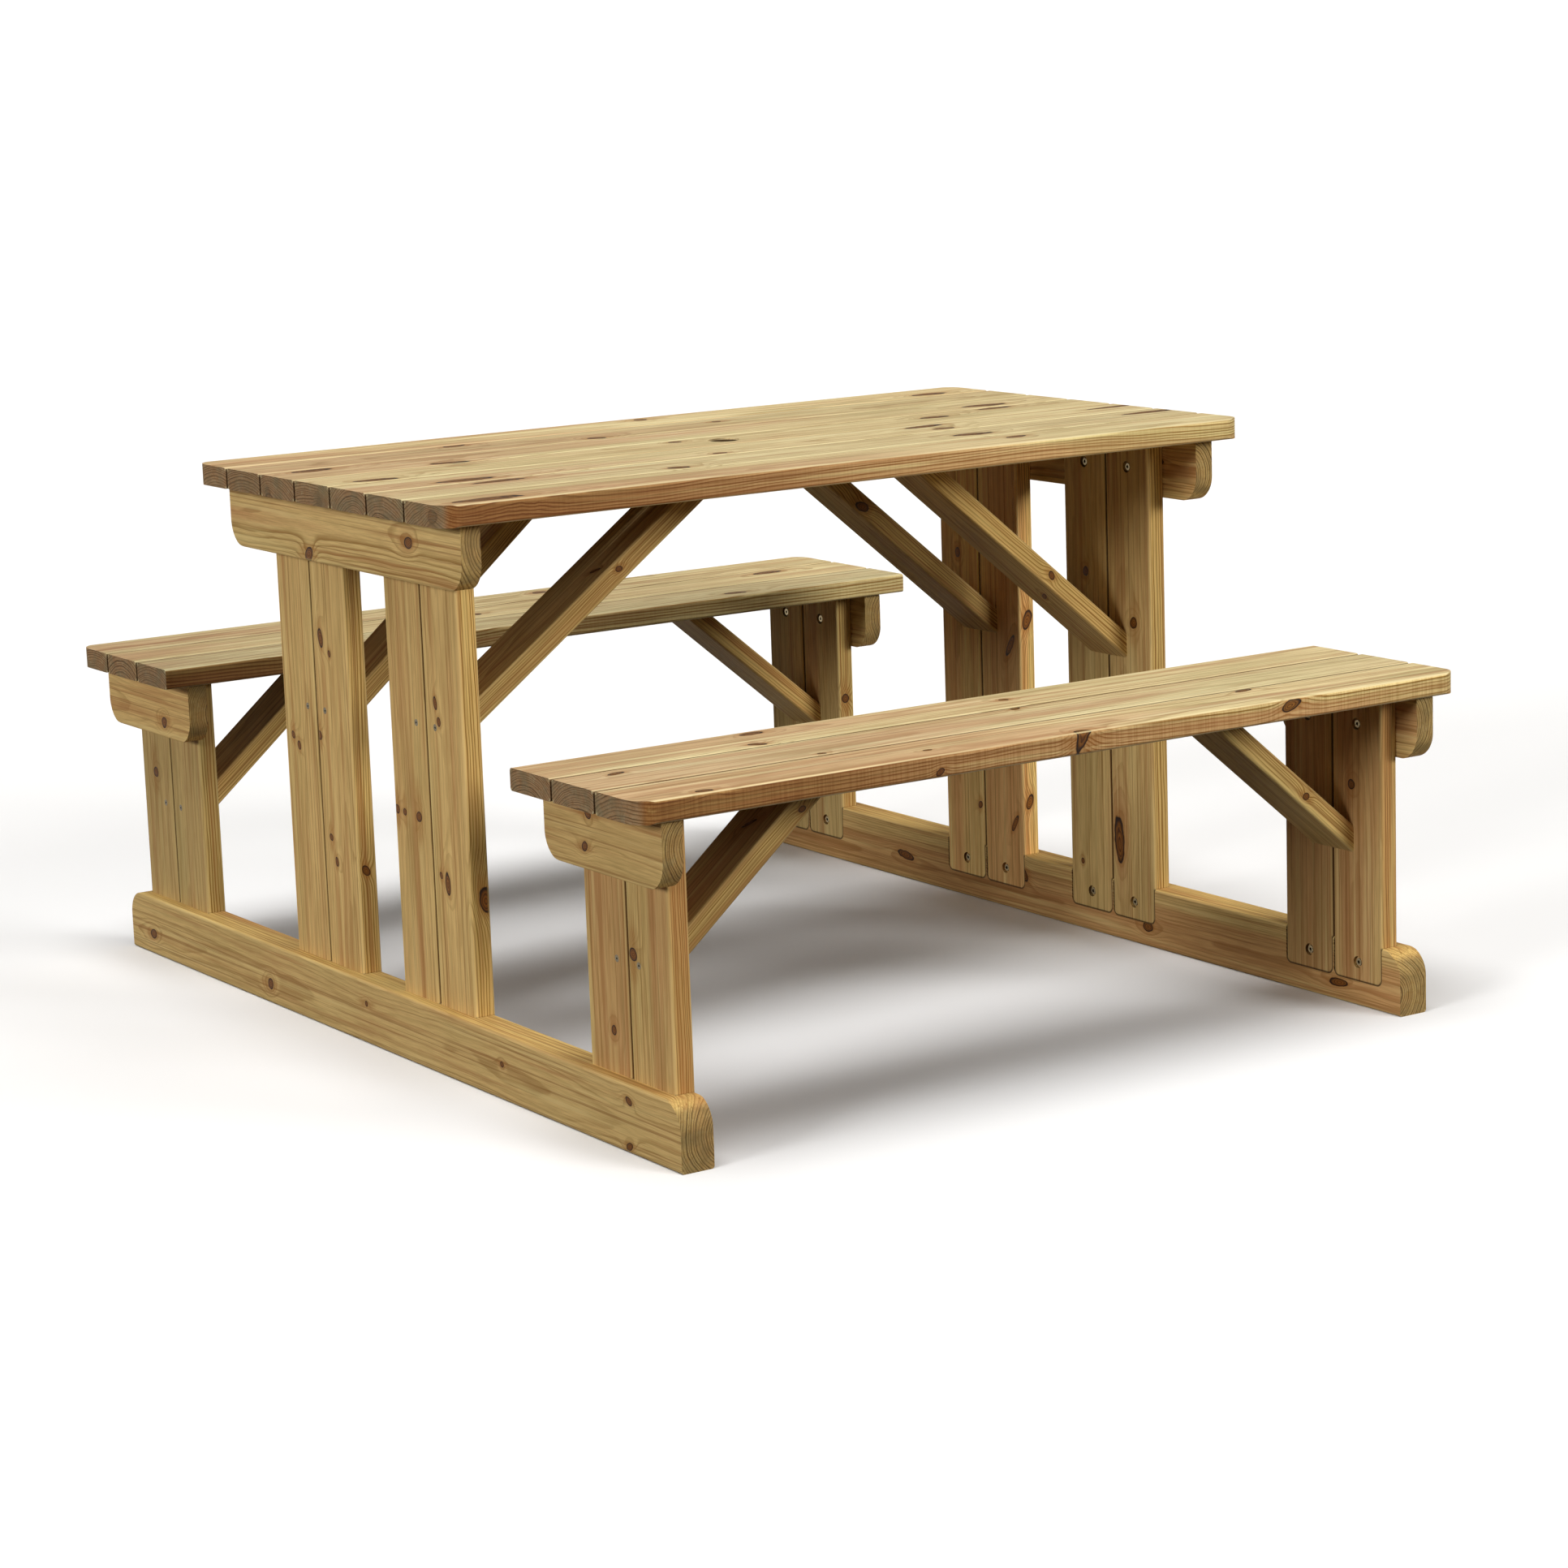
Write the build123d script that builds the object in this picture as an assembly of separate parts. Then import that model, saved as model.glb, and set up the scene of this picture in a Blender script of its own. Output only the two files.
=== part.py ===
from build123d import *
import math
import os

# Walk-in picnic table in planed, pressure-treated pine, with a bench on each long side.
# Millimetres. X runs along the boards, Y across the table, Z up from the ground.
# The origin is on the ground under the centre of the tabletop.

# Overall sizes
TABLE_LENGTH = 1250
TABLE_HEIGHT = 750
SEAT_HEIGHT = 450
OVERALL_DEPTH = 1550

# Timber sections
BOARD_WIDTH = 95
BOARD_THICK = 28
BEARER_HEIGHT = 85
RAIL_THICK = 45
RAIL_HEIGHT = 85
BRACE_WIDTH = 85
BRACE_THICK = 28
ARRIS = 4

# Boards
TABLE_BOARDS = 7
SEAT_BOARDS = 3
BOARD_GAP = 4
PLAN_CORNER = 30
PARASOL_DIAMETER = 40
PARASOL_EASE = 2

# End frames
RAIL_LENGTH = 1520
RAIL_INNER_X = 532
TABLE_PAIR_Y = 153
LEG_GAP = 2
HOUSING_BOTTOM = 33
TONGUE_CORNER = 10
END_CORNER = 35
TABLE_BEARER_LENGTH = 640
SEAT_BEARER_LENGTH = 269

# Braces
BRACE_ANGLE = 40
TABLE_BRACE_FOOT = 410
SEAT_BRACE_FOOT = 207
FLAT_BRACE = "table_brace_left_front"
FLAT_BRACE_ANGLE = 36
FLAT_BRACE_FOOT = 428

# Screws
FRAME_SHANK = 6
FRAME_HEAD = 10
FRAME_HEAD_HIGH = 3
COUNTERBORE = 16
COUNTERBORE_DEPTH = 5
FRAME_DRIVE = 5
TOP_SCREW_LENGTH = 45
FOOT_SCREW_LENGTH = 36
FOOT_SCREW_Z = 59
SMALL_SHANK = 5
SMALL_HEAD = 9
SMALL_HEAD_HIGH = 3
SMALL_DRIVE = 3
BRACE_FOOT_SCREW_LENGTH = 46
BRACE_FOOT_SCREW_RISE = 21
BRACE_FOOT_SCREW_Y = 25
BRACE_HEAD_SCREW_LENGTH = 32
BRACE_HEAD_SCREW_SET = 24
BRACE_HEAD_SCREW_Y = 25
BOARD_SCREW_LENGTH = 60
BOARD_SCREW_BITE = 18
BOARD_SCREW_INSET = 22
DRIVE_DEPTH = 1.5

# Worked out from the sizes above
BOARD_PITCH = BOARD_WIDTH + BOARD_GAP
SEAT_WIDTH = SEAT_BOARDS * BOARD_PITCH - BOARD_GAP
SEAT_Y = (OVERALL_DEPTH - SEAT_WIDTH) / 2
LEG_THICK = BOARD_THICK
LEG_OUTER_X = RAIL_INNER_X + LEG_THICK
LEG_OFFSET = (BOARD_WIDTH + LEG_GAP) / 2
ENDS = {"left": -1, "right": 1}
SIDES = {"front": -1, "rear": 1}
STATIONS = {
    "table": {"y": TABLE_PAIR_Y, "top": TABLE_HEIGHT - BOARD_THICK, "brace_foot": TABLE_BRACE_FOOT},
    "seat": {"y": SEAT_Y, "top": SEAT_HEIGHT - BOARD_THICK, "brace_foot": SEAT_BRACE_FOOT},
}

parts = {}
screws = {}


def bar_along_x(length, width, height):
    """A planed bar along X with eased long arrises, centred on X and Y, standing on Z = 0."""
    section = Plane.YZ * Pos(0, height / 2) * RectangleRounded(width, height, ARRIS)
    return Pos(-length / 2, 0, 0) * extrude(section, length)


def bar_along_y(length, width, height):
    """The same bar, along Y."""
    return Rot(0, 0, 90) * bar_along_x(length, width, height)


def rounded_corner(radius, depth):
    """What a rounding of this radius takes off a corner at the origin, along Z, in +X and +Y."""
    corner = Rectangle(radius, radius, align=Align.MIN) - Pos(radius, radius) * Circle(radius)
    return Pos(0, 0, -depth / 2) * extrude(corner, depth)


def round_plan_corner(bar, corner_x, corner_y, top):
    """Rounds the upright corner of a board where its end meets its outer edge."""
    turn = {(1, 1): 180, (-1, 1): 270, (-1, -1): 0, (1, -1): 90}
    angle = turn[(int(math.copysign(1, corner_x)), int(math.copysign(1, corner_y)))]
    cutter = rounded_corner(PLAN_CORNER, 4 * BOARD_THICK)
    return bar - Pos(corner_x, corner_y, top) * Rot(0, 0, angle) * cutter


def round_end(bar, end_y, edge_z, thick, upper):
    """Rounds the top or the bottom corner of a bar along Y, at the end that lies at end_y."""
    cutter = lying_corner(END_CORNER, 2 * thick, end_y)
    if upper:
        cutter = mirror(cutter, Plane.XY)
    return bar - Pos(0, end_y, edge_z) * cutter


def lying_corner(radius, depth, end_y):
    """What a rounding takes off the lower corner of a bar, along X, at the end that lies at end_y."""
    cutter = Plane.YZ * rounded_corner(radius, depth)
    return mirror(cutter, Plane.XZ) if end_y > 0 else cutter


def cylinder_along(radius, length, start, direction):
    """A round solid from a start point along a direction."""
    return extrude(Plane(origin=start, z_dir=direction) * Circle(radius), length)


def point_along(start, direction, distance):
    """The point a distance away from a start point along a direction."""
    return tuple(a + b * distance for a, b in zip(start, direction))


def frame_screw(start, direction, length):
    """A screw with a flat round head. The start is the centre of the head's top face."""
    head = cylinder_along(FRAME_HEAD / 2, FRAME_HEAD_HIGH, start, direction)
    shank = cylinder_along(FRAME_SHANK / 2, length, start, direction)
    drive = Plane(origin=start, z_dir=direction) * RegularPolygon(FRAME_DRIVE / 2, 6)
    return head + shank - extrude(drive, DRIVE_DEPTH)


def small_screw(start, direction, length):
    """A countersunk screw. The start is the centre of the head's flush top face."""
    drive = Plane(origin=start, z_dir=direction) * RegularPolygon(SMALL_DRIVE / 2, 6)
    return small_screw_hole(start, direction, length) - extrude(drive, DRIVE_DEPTH)


def small_screw_hole(start, direction, length):
    """The hole that a countersunk screw fills."""
    plane = Plane(origin=start, z_dir=direction)
    cone = loft([plane * Circle(SMALL_HEAD / 2), plane.offset(SMALL_HEAD_HIGH) * Circle(SMALL_SHANK / 2)])
    return cone + cylinder_along(SMALL_SHANK / 2, length, start, direction)


def make_tabletop():
    """Seven boards, with rounded plan corners and the parasol hole through the middle one."""
    middle = TABLE_BOARDS // 2
    bottom = TABLE_HEIGHT - BOARD_THICK
    for number in range(TABLE_BOARDS):
        y = (number - middle) * BOARD_PITCH
        board = Pos(0, y, bottom) * bar_along_x(TABLE_LENGTH, BOARD_WIDTH, BOARD_THICK)
        if number in (0, TABLE_BOARDS - 1):
            edge = y + math.copysign(BOARD_WIDTH / 2, y)
            board = round_plan_corner(board, TABLE_LENGTH / 2, edge, bottom)
            board = round_plan_corner(board, -TABLE_LENGTH / 2, edge, bottom)
        if number == middle:
            hole = cylinder_along(PARASOL_DIAMETER / 2, BOARD_THICK, (0, 0, bottom), (0, 0, 1))
            rim = Pos(0, 0, TABLE_HEIGHT - PARASOL_EASE / 2) * Cone(
                PARASOL_DIAMETER / 2, PARASOL_DIAMETER / 2 + PARASOL_EASE, PARASOL_EASE)
            board = board - hole - rim
        parts[f"tabletop_board_{number + 1}"] = board


def make_seats():
    """Three boards to a bench, with rounded plan corners on the side away from the table."""
    bottom = SEAT_HEIGHT - BOARD_THICK
    for side, sign in SIDES.items():
        for number in range(SEAT_BOARDS):
            y = sign * (SEAT_Y + (number - SEAT_BOARDS // 2) * BOARD_PITCH)
            board = Pos(0, y, bottom) * bar_along_x(TABLE_LENGTH, BOARD_WIDTH, BOARD_THICK)
            if number == SEAT_BOARDS - 1:
                edge = sign * OVERALL_DEPTH / 2
                board = round_plan_corner(board, TABLE_LENGTH / 2, edge, bottom)
                board = round_plan_corner(board, -TABLE_LENGTH / 2, edge, bottom)
            parts[f"seat_{side}_board_{number + 1}"] = board


def leg_centres():
    """The Y of each of the eight uprights of an end frame, with its names."""
    for station, place in STATIONS.items():
        for side, sign in SIDES.items():
            for mark, offset in (("a", -LEG_OFFSET), ("b", LEG_OFFSET)):
                yield station, side, mark, sign * place["y"] + offset


def make_legs():
    """Uprights in pairs. Each foot is let into the rail and has rounded bottom corners."""
    for end, end_sign in ENDS.items():
        for station, side, mark, y in leg_centres():
            height = STATIONS[station]["top"] - HOUSING_BOTTOM
            leg = extrude(RectangleRounded(LEG_THICK, BOARD_WIDTH, ARRIS), height)
            for corner_y in (-BOARD_WIDTH / 2, BOARD_WIDTH / 2):
                leg = leg - Pos(0, corner_y, 0) * lying_corner(TONGUE_CORNER, 2 * LEG_THICK, corner_y)
            x = end_sign * (RAIL_INNER_X + LEG_THICK / 2)
            parts[f"{station}_leg_{end}_{side}_{mark}"] = Pos(x, y, HOUSING_BOTTOM) * leg


def make_rails():
    """The two ground rails. Their inner faces have a housing for each upright."""
    for end, end_sign in ENDS.items():
        rail = bar_along_y(RAIL_LENGTH, RAIL_THICK, RAIL_HEIGHT)
        for end_y in (-RAIL_LENGTH / 2, RAIL_LENGTH / 2):
            rail = round_end(rail, end_y, RAIL_HEIGHT, RAIL_THICK, upper=True)
        rail = Pos(end_sign * (RAIL_INNER_X + RAIL_THICK / 2), 0, 0) * rail
        for station, side, mark, _ in leg_centres():
            rail = rail - housing_for(parts[f"{station}_leg_{end}_{side}_{mark}"], end_sign)
        parts[f"ground_rail_{end}"] = rail


def housing_for(leg, end_sign):
    """The housing that takes an upright's foot: as wide as it, and open to the inner face."""
    box = leg.bounding_box()
    depth = RAIL_HEIGHT - HOUSING_BOTTOM
    outline = Rectangle(BOARD_WIDTH, depth + TONGUE_CORNER, align=(Align.CENTER, Align.MIN))
    outline = fillet(outline.vertices().sort_by(Axis.Y)[:2], TONGUE_CORNER)
    pocket = extrude(Plane.YZ * outline, LEG_THICK + ARRIS)
    x = RAIL_INNER_X - ARRIS if end_sign > 0 else -RAIL_INNER_X - LEG_THICK
    return Pos(x, (box.min.Y + box.max.Y) / 2, HOUSING_BOTTOM) * pocket


def make_bearers():
    """Cross bearers on the outer faces of the uprights, under the boards' ends."""
    for end, end_sign in ENDS.items():
        x = end_sign * (LEG_OUTER_X + BOARD_THICK / 2)
        add_bearer(f"table_bearer_{end}", x, 0, TABLE_BEARER_LENGTH, STATIONS["table"]["top"])
        for side, sign in SIDES.items():
            name = f"seat_bearer_{end}_{side}"
            add_bearer(name, x, sign * SEAT_Y, SEAT_BEARER_LENGTH, STATIONS["seat"]["top"])


def add_bearer(name, x, y, length, top):
    """One bearer, with both lower corners rounded."""
    bearer = bar_along_y(length, BOARD_THICK, BEARER_HEIGHT)
    for end_y in (-length / 2, length / 2):
        bearer = round_end(bearer, end_y, 0, BOARD_THICK, upper=False)
    parts[name] = Pos(x, y, top - BEARER_HEIGHT) * bearer


def brace_setting(name):
    """The height of a brace's foot, and its slope. One brace is fitted a little flatter than the rest."""
    if name == FLAT_BRACE:
        return FLAT_BRACE_FOOT, math.radians(FLAT_BRACE_ANGLE)
    station = name.split("_")[0]
    return STATIONS[station]["brace_foot"], math.radians(BRACE_ANGLE)


def brace_places():
    """The name, end, side and station of each of the eight braces."""
    for end in ENDS:
        for station in STATIONS:
            for side in SIDES:
                yield f"{station}_brace_{end}_{side}", end, side, station


def make_braces():
    """Diagonals from each pair of uprights up and inwards to the underside of the boards."""
    for name, end, side, station in brace_places():
        foot_z, slope = brace_setting(name)
        top_z = STATIONS[station]["top"]
        foot_high = BRACE_THICK / math.cos(slope)
        head_long = BRACE_THICK / math.sin(slope)
        head_x = RAIL_INNER_X - (top_z - foot_z) / math.tan(slope)
        corners = [
            (RAIL_INNER_X, foot_z),
            (head_x, top_z),
            (head_x + head_long, top_z),
            (RAIL_INNER_X, foot_z + foot_high),
        ]
        outline = make_face(Polyline(*[(ENDS[end] * x, z) for x, z in corners], close=True))
        brace = extrude(Plane.XZ * outline, BRACE_WIDTH / 2, both=True)
        long_edges = [edge for edge in brace.edges().filter_by(GeomType.LINE)
                      if edge.length > 2 * BRACE_WIDTH]
        brace = fillet(long_edges, ARRIS)
        parts[name] = Pos(0, SIDES[side] * STATIONS[station]["y"], 0) * brace


def fit_leg_screws():
    """Screws in counterbores in the uprights' inner faces, into the bearers and the rails."""
    for end, end_sign in ENDS.items():
        outward = (end_sign, 0, 0)
        bearers = {
            ("table", "front"): f"table_bearer_{end}",
            ("table", "rear"): f"table_bearer_{end}",
            ("seat", "front"): f"seat_bearer_{end}_front",
            ("seat", "rear"): f"seat_bearer_{end}_rear",
        }
        for station, side, mark, y in leg_centres():
            leg = f"{station}_leg_{end}_{side}_{mark}"
            top_z = STATIONS[station]["top"] - BEARER_HEIGHT / 2
            fixings = [
                ("top", top_z, TOP_SCREW_LENGTH, bearers[(station, side)]),
                ("foot", FOOT_SCREW_Z, FOOT_SCREW_LENGTH, f"ground_rail_{end}"),
            ]
            for place, z, length, into in fixings:
                face = (end_sign * RAIL_INNER_X, y, z)
                seat = point_along(face, outward, COUNTERBORE_DEPTH)
                start = point_along(seat, outward, -FRAME_HEAD_HIGH)
                bore = cylinder_along(COUNTERBORE / 2, COUNTERBORE_DEPTH, face, outward)
                hole = cylinder_along(FRAME_SHANK / 2, length, start, outward)
                screw = frame_screw(start, outward, length)
                screws.setdefault(f"{station}_leg_{place}_screws", []).append(screw)
                parts[leg] = parts[leg] - bore - hole
                parts[into] = parts[into] - hole


def fit_brace_screws():
    """Countersunk screws through the uprights into a brace's foot, and from its head upwards."""
    for brace, end, side, station in brace_places():
        end_sign = ENDS[end]
        place = STATIONS[station]
        foot_z, slope = brace_setting(brace)
        centre_y = SIDES[side] * place["y"]
        head_x = RAIL_INNER_X - (place["top"] - foot_z) / math.tan(slope)
        head_face = (end_sign * (head_x + BRACE_HEAD_SCREW_SET * math.cos(slope)),
                     place["top"] - BRACE_HEAD_SCREW_SET * math.sin(slope))
        head_direction = (end_sign * math.sin(slope), 0, math.cos(slope))
        for mark, step in (("a", -1), ("b", 1)):
            leg = f"{station}_leg_{end}_{side}_{mark}"
            start = (end_sign * LEG_OUTER_X, centre_y + step * BRACE_FOOT_SCREW_Y,
                     foot_z + BRACE_FOOT_SCREW_RISE)
            fit_small_screw(f"{station}_brace_foot_screws", start, (-end_sign, 0, 0),
                            BRACE_FOOT_SCREW_LENGTH, [leg, brace])
            start = (head_face[0], centre_y + step * BRACE_HEAD_SCREW_Y, head_face[1])
            fit_small_screw(f"{station}_brace_head_screws", start, head_direction,
                            BRACE_HEAD_SCREW_LENGTH, [brace] + boards_of(station, side))


def boards_of(station, side):
    """The names of the boards that a brace of this station can reach."""
    if station == "table":
        return [f"tabletop_board_{number + 1}" for number in range(TABLE_BOARDS)]
    return [f"seat_{side}_board_{number + 1}" for number in range(SEAT_BOARDS)]


def fit_small_screw(group, start, direction, length, timbers):
    """Adds a countersunk screw and bores its hole in each timber that it reaches."""
    hole = small_screw_hole(start, direction, length)
    screws.setdefault(group, []).append(small_screw(start, direction, length))
    for name in timbers:
        if overlaps(parts[name], hole):
            parts[name] = parts[name] - hole


def overlaps(first, second):
    """Whether the boxes around two solids overlap."""
    a = first.bounding_box()
    b = second.bounding_box()
    return all(getattr(a.min, axis) < getattr(b.max, axis) and getattr(b.min, axis) < getattr(a.max, axis)
               for axis in "XYZ")


def fit_board_screws():
    """Screws up through the bearers into each board, from deep bores in the bearers' undersides."""
    for end, end_sign in ENDS.items():
        x = end_sign * (LEG_OUTER_X + BOARD_THICK / 2)
        for number in range(TABLE_BOARDS):
            y = board_screw_offset(number - TABLE_BOARDS // 2)
            fit_board_screw("tabletop_board_screws", x, y, STATIONS["table"]["top"],
                            f"table_bearer_{end}", f"tabletop_board_{number + 1}")
        for side, sign in SIDES.items():
            for number in range(SEAT_BOARDS):
                y = sign * (SEAT_Y + board_screw_offset(number - SEAT_BOARDS // 2))
                fit_board_screw("seat_board_screws", x, y, STATIONS["seat"]["top"],
                                f"seat_bearer_{end}_{side}", f"seat_{side}_board_{number + 1}")


def board_screw_offset(steps):
    """How far a board's screw is from the bearer's middle: inset a little from the board's own."""
    if steps == 0:
        return 0
    return steps * BOARD_PITCH - math.copysign(BOARD_SCREW_INSET, steps)


def fit_board_screw(group, x, y, top, bearer, board):
    """One screw from its bore in the bearer's underside up into a board."""
    start = (x, y, top + BOARD_SCREW_BITE - BOARD_SCREW_LENGTH)
    up = (0, 0, 1)
    bore_long = BEARER_HEIGHT + BOARD_SCREW_BITE - BOARD_SCREW_LENGTH + FRAME_HEAD_HIGH
    bore = cylinder_along(COUNTERBORE / 2, bore_long, (x, y, top - BEARER_HEIGHT), up)
    hole = cylinder_along(FRAME_SHANK / 2, BOARD_SCREW_LENGTH, start, up)
    screws.setdefault(group, []).append(frame_screw(start, up, BOARD_SCREW_LENGTH))
    parts[bearer] = parts[bearer] - bore - hole
    parts[board] = parts[board] - hole


make_tabletop()
make_seats()
make_legs()
make_rails()
make_bearers()
make_braces()
fit_leg_screws()
fit_brace_screws()
fit_board_screws()

os.makedirs("parts", exist_ok=True)
for node, shape in parts.items():
    export_step(shape, f"parts/{node}.step")
for node, group in screws.items():
    export_step(Compound(children=group), f"parts/{node}.step")
print(len(parts) + len(screws), "nodes")
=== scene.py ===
import math
import random
from collections import namedtuple

import bpy
from mathutils import Matrix, Vector

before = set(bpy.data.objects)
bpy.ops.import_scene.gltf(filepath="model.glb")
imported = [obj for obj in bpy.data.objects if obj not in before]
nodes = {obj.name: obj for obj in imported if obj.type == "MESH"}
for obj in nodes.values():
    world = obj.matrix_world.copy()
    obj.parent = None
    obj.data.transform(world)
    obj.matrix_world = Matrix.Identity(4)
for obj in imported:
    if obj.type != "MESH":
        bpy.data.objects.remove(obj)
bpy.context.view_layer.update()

MM = 0.001
BRACE_ANGLE = math.radians(40)
FLAT_BRACE = "table_brace_left_front"
FLAT_BRACE_ANGLE = math.radians(36)
FOOT_CORNER = 10 * MM
FOOT_LET_IN = 52 * MM
SHADE_AND_GRIME_REACH = 4 * MM
X_AXIS = Vector((1, 0, 0))
Y_AXIS = Vector((0, 1, 0))
Z_AXIS = Vector((0, 0, 1))


# ---------------------------------------------------------------- node helpers

class Tree:
    """Short calls that add nodes to one node tree. A value may be a number or a socket."""

    def __init__(self, tree):
        self.tree = tree
        self.count = 0

    def add(self, kind, **settings):
        node = self.tree.nodes.new(kind)
        node.location = (180 * (self.count % 12), -220 * (self.count // 12))
        self.count += 1
        for name, value in settings.items():
            setattr(node, name, value)
        return node

    def feed(self, socket, value):
        if isinstance(value, bpy.types.NodeSocket):
            self.tree.links.new(value, socket)
        else:
            socket.default_value = value

    def math(self, operation, a, b=0.0, c=0.0, clamp=False):
        node = self.add("ShaderNodeMath", operation=operation, use_clamp=clamp)
        for socket, value in zip(node.inputs, (a, b, c)):
            self.feed(socket, value)
        return node.outputs[0]

    def vector(self, operation, a, b=(0, 0, 0)):
        node = self.add("ShaderNodeVectorMath", operation=operation)
        self.feed(node.inputs[0], a)
        self.feed(node.inputs[1], b)
        return node.outputs[0]

    def scaled(self, a, factor):
        node = self.add("ShaderNodeVectorMath", operation="SCALE")
        self.feed(node.inputs[0], a)
        self.feed(node.inputs["Scale"], factor)
        return node.outputs[0]

    def length(self, a):
        node = self.add("ShaderNodeVectorMath", operation="LENGTH")
        self.feed(node.inputs[0], a)
        return node.outputs["Value"]

    def dot(self, a, b):
        node = self.add("ShaderNodeVectorMath", operation="DOT_PRODUCT")
        self.feed(node.inputs[0], a)
        self.feed(node.inputs[1], b)
        return node.outputs["Value"]

    def noise(self, place, scale=1.0, detail=2.0, rough=0.5, output="Fac"):
        node = self.add("ShaderNodeTexNoise")
        self.feed(node.inputs["Vector"], place)
        node.inputs["Scale"].default_value = scale
        node.inputs["Detail"].default_value = detail
        node.inputs["Roughness"].default_value = rough
        return node.outputs[output]

    def grain_noise(self, place, along, across, detail=2, rough=0.5, output="Fac"):
        """Noise drawn out along the grain, with its frequencies along and across the timber, per metre."""
        stretched = self.vector("MULTIPLY", place, (along, across, across))
        return self.noise(stretched, detail=detail, rough=rough, output=output)

    def smooth(self, value, low, high, to_low=0.0, to_high=1.0):
        node = self.add("ShaderNodeMapRange", interpolation_type="SMOOTHSTEP")
        for socket, number in zip(node.inputs, (value, low, high, to_low, to_high)):
            self.feed(socket, number)
        return node.outputs[0]

    def mix(self, factor, a, b, blend="MIX"):
        node = self.add("ShaderNodeMix", data_type="RGBA", blend_type=blend)
        self.feed(node.inputs["Factor"], factor)
        self.feed(node.inputs[6], a)
        self.feed(node.inputs[7], b)
        return node.outputs[2]

    def bump(self, height, strength, distance):
        node = self.add("ShaderNodeBump")
        node.inputs["Strength"].default_value = strength
        node.inputs["Distance"].default_value = distance
        self.feed(node.inputs["Height"], height)
        return node.outputs[0]

    def split(self, a):
        node = self.add("ShaderNodeSeparateXYZ")
        self.feed(node.inputs[0], a)
        return node.outputs

    def join(self, x, y, z):
        node = self.add("ShaderNodeCombineXYZ")
        for socket, value in zip(node.inputs, (x, y, z)):
            self.feed(socket, value)
        return node.outputs[0]


SOCKETS = {"f": "NodeSocketFloat", "v": "NodeSocketVector", "c": "NodeSocketColor"}


def new_group(name, inputs, outputs):
    """An empty group with these sockets, {name: f, v or c}: its tree, what it is given and what it gives."""
    group = bpy.data.node_groups.new(name, "ShaderNodeTree")
    for direction, sockets in (("INPUT", inputs), ("OUTPUT", outputs)):
        for label, kind in sockets.items():
            group.interface.new_socket(name=label, in_out=direction, socket_type=SOCKETS[kind])
    tree = Tree(group)
    source = tree.add("NodeGroupInput").outputs
    sink = tree.add("NodeGroupOutput").inputs
    return tree, source, sink


def rgb(red, green, blue):
    """A display colour of 0 to 255 as the linear colour that a shader takes."""
    def linear(value):
        value = value / 255
        return value / 12.92 if value <= 0.04045 else ((value + 0.055) / 1.055) ** 2.4
    return (linear(red), linear(green), linear(blue), 1.0)


# ---------------------------------------------------------------- colours, as they display

SAPWOOD = rgb(229, 204, 150)
HEARTWOOD = rgb(214, 176, 130)
SAPWOOD_RING = rgb(150, 114, 58)
HEARTWOOD_RING = rgb(150, 102, 58)
FIBRE = rgb(138, 100, 56)
DARK_STREAK = rgb(176, 126, 84)
PALE_STREAK = rgb(238, 222, 170)
HAIRLINE = rgb(146, 102, 60)
GREEN_STAIN = rgb(142, 136, 82)
KNOT_HALO = rgb(158, 104, 50)
KNOT_WOOD = rgb(134, 86, 36)
KNOT_RING = rgb(80, 48, 20)
KNOT_BARK = rgb(34, 20, 8)
END_RING = rgb(62, 42, 26)
END_DAMP = rgb(112, 102, 74)
SAW_MARK = rgb(150, 130, 104)
# painted shade for the walls of bores, and the dark of the real joint line round the feet
PAINTED_BORE_SHADE_AND_JOINT_LINE = rgb(52, 34, 18)
# painted shade on the walls of narrow gaps
PAINTED_GAP_SHADE = rgb(72, 46, 20)
# rubbed wear and a painted highlight on the rounded arrises
RUBBED_ARRIS_AND_HIGHLIGHT = rgb(236, 214, 160)
BOARD_END = rgb(138, 98, 62)
FRAME_END = rgb(160, 138, 88)
FRESH_ZINC = rgb(124, 110, 84), rgb(208, 190, 150)
# a darker copy of the zinc, as painted shade
PAINTED_SHADE_ZINC = rgb(56, 48, 36), rgb(150, 138, 112)
DIRTY_ZINC = rgb(92, 82, 66)
# painted shade with grime in the screws' recesses
SHADE_AND_GRIME = rgb(30, 22, 14)

# factors on the wood's colour
NEAR_EDGE = rgb(194, 162, 126)
FAR_EDGE = (1.2, 1.15, 0.95, 1)
PLANER_MARK = rgb(220, 206, 190)
BOARD_TONE = (0.86, 0.92, 0.98)
FRAME_TONE = (0.95, 0.86, 0.68)
BOARD_SIDE_TONE = (1, 1, 1, 1)
FRAME_SIDE_TONE = (1, 0.97, 0.82, 1)

# linear colours
DARK_FLOOR = (0.86, 0.86, 0.86, 1)
PALE_FLOOR = (0.90, 0.90, 0.90, 1)
LIGHT_FROM_BELOW = (0.14, 0.085, 0.04, 1)
LIGHT_FROM_ABOVE = (1.0, 0.88, 0.70, 1)


# ---------------------------------------------------------------- wood

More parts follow.
